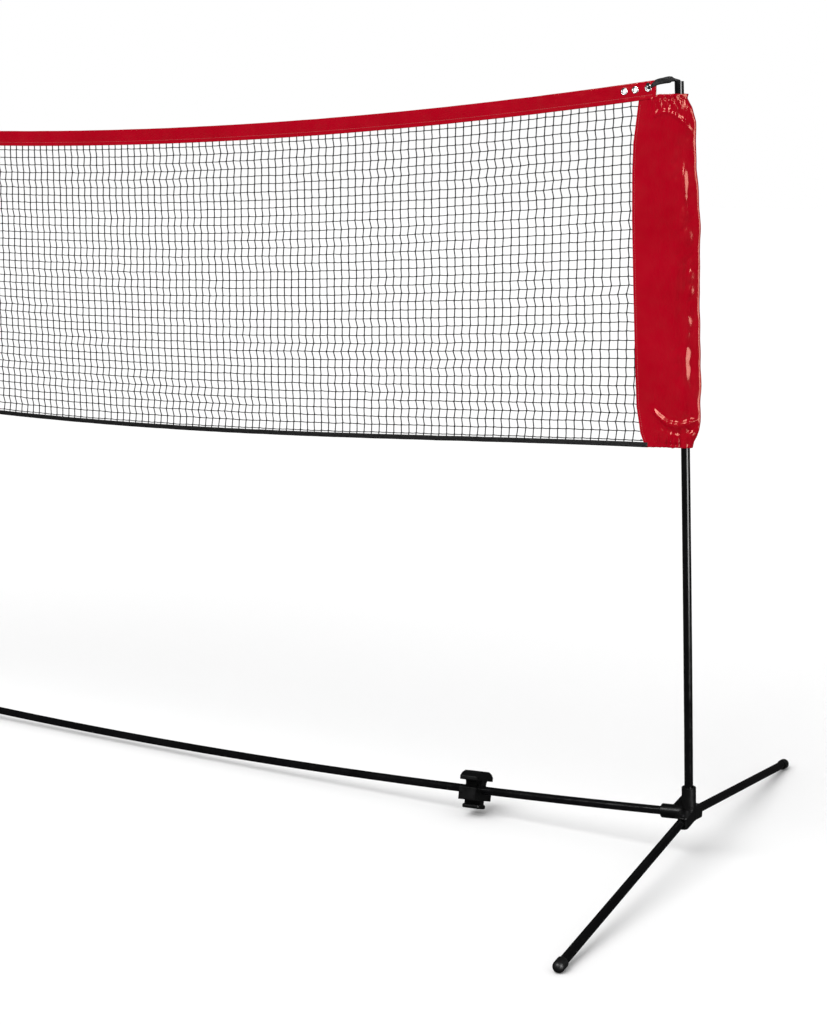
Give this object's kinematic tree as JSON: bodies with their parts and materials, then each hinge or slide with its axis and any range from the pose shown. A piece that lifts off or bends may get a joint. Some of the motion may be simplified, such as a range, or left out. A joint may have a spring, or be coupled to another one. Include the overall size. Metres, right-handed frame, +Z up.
{
  "type": "portable badminton net",
  "caption": "Free-standing badminton net on a bowed crossbar with folding splayed legs, leaning posts, vinyl headband and end sleeves.",
  "frame": {"origin": "on the floor at mid-span, centre of the bounding box base", "axes": "+X along the net to the right end, +Y across the court to the rear, +Z up"},
  "size_m": [3.13, 1.2604, 1.5431],
  "materials": {
    "black_steel_tube": "satin black powder coat on steel tube",
    "black_moulded_plastic": "fine textured black injection moulding",
    "black_soft_plastic": "soft matt black moulding",
    "pin_steel": "blackened rivet steel",
    "red_vinyl": "glossy deep red coated fabric with fine creases",
    "eyelet_metal": "bright nickel-plated eyelet",
    "black_webbing": "woven black webbing",
    "black_tape": "folded black binding tape",
    "black_netting": "knotted black twine"
  },
  "bodies": {
    "frame_and_net": {"base_connector_left": "black_moulded_plastic", "base_connector_right": "black_moulded_plastic", "bottom_tape": "black_tape", "crossbar_ferrule": "black_steel_tube", "crossbar_inner_left": "black_steel_tube", "crossbar_inner_right": "black_steel_tube", "crossbar_middle_left": "black_steel_tube", "crossbar_middle_right": "black_steel_tube", "crossbar_outer_left": "black_steel_tube", "crossbar_outer_right": "black_steel_tube", "eyelets_left": "eyelet_metal", "eyelets_right": "eyelet_metal", "headband": "red_vinyl", "hinge_pin_front_left": "pin_steel", "hinge_pin_front_right": "pin_steel", "hinge_pin_rear_left": "pin_steel", "hinge_pin_rear_right": "pin_steel", "net_mesh": "black_netting", "net_sleeve_left": "red_vinyl", "net_sleeve_right": "red_vinyl", "post_lower_left": "black_steel_tube", "post_lower_right": "black_steel_tube", "post_middle_left": "black_steel_tube", "post_middle_right": "black_steel_tube", "post_top_cap_left": "black_moulded_plastic", "post_top_cap_right": "black_moulded_plastic", "post_upper_left": "black_steel_tube", "post_upper_right": "black_steel_tube", "tension_strap_left": "black_webbing", "tension_strap_right": "black_webbing"},
    "leg_front_right": {"leg_tube_front_right": "black_steel_tube", "leg_knuckle_front_right": "black_moulded_plastic", "leg_cap_front_right": "black_soft_plastic"},
    "leg_rear_right": {"leg_tube_rear_right": "black_steel_tube", "leg_knuckle_rear_right": "black_moulded_plastic", "leg_cap_rear_right": "black_soft_plastic"},
    "clip_right": {"storage_clip_right": "black_moulded_plastic"},
    "leg_front_left": {"leg_tube_front_left": "black_steel_tube", "leg_knuckle_front_left": "black_moulded_plastic", "leg_cap_front_left": "black_soft_plastic"},
    "leg_rear_left": {"leg_tube_rear_left": "black_steel_tube", "leg_knuckle_rear_left": "black_moulded_plastic", "leg_cap_rear_left": "black_soft_plastic"},
    "clip_left": {"storage_clip_left": "black_moulded_plastic"}
  },
  "joints": [
    {"name": "leg_front_right_fold", "type": "hinge", "parent": "frame_and_net", "child": "leg_front_right", "pos_m": [1.55, -0.035, 0.085], "axis": [0, 0.1261, -0.992], "range_deg": [0, 86]},
    {"name": "leg_rear_right_fold", "type": "hinge", "parent": "frame_and_net", "child": "leg_rear_right", "pos_m": [1.55, 0.035, 0.085], "axis": [0, 0.1261, 0.992], "range_deg": [0, 86]},
    {"name": "clip_right_turn", "type": "hinge", "parent": "frame_and_net", "child": "clip_right", "pos_m": [1.0625, 0, 0.05439], "axis": [0.9981, 0, 0.0609], "continuous": true},
    {"name": "leg_front_left_fold", "type": "hinge", "parent": "frame_and_net", "child": "leg_front_left", "pos_m": [-1.55, -0.035, 0.085], "axis": [0, -0.1261, 0.992], "range_deg": [0, 86]},
    {"name": "leg_rear_left_fold", "type": "hinge", "parent": "frame_and_net", "child": "leg_rear_left", "pos_m": [-1.55, 0.035, 0.085], "axis": [0, -0.1261, -0.992], "range_deg": [0, 86]},
    {"name": "clip_left_turn", "type": "hinge", "parent": "frame_and_net", "child": "clip_left", "pos_m": [-1.0625, 0, 0.05439], "axis": [0.9981, 0, -0.0609], "continuous": true}
  ]
}
